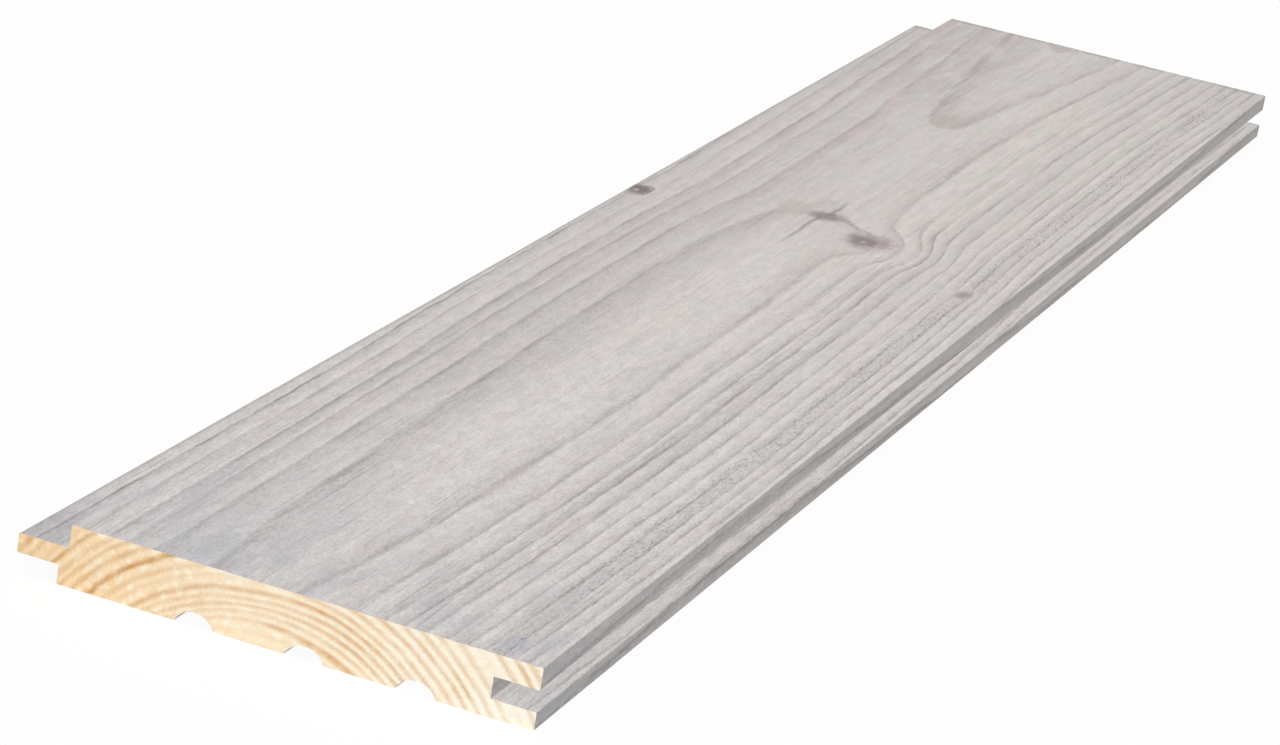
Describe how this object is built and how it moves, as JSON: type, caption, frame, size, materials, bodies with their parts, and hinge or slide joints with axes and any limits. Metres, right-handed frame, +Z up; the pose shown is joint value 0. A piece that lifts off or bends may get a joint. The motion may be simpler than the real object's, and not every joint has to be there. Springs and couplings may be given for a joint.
{
  "type": "tongue and groove board",
  "caption": "Flat softwood lining board with a tongue along one edge, a groove along the other and round relief grooves in its back; it joins edge to edge with like boards.",
  "frame": {"origin": "on the floor under the middle of the board, which lies on its back", "axes": "+X across the board from the tongue to the groove, +Y along its length away from the near sawn end, +Z up out of the washed face"},
  "size_m": [0.12, 0.6, 0.014],
  "materials": {
    "grey_washed_softwood": "thin grey-white wash over brushed softwood on every long face, bare sawn wood on the two ends"
  },
  "bodies": {
    "root": {"board": "grey_washed_softwood"}
  },
  "joints": []
}
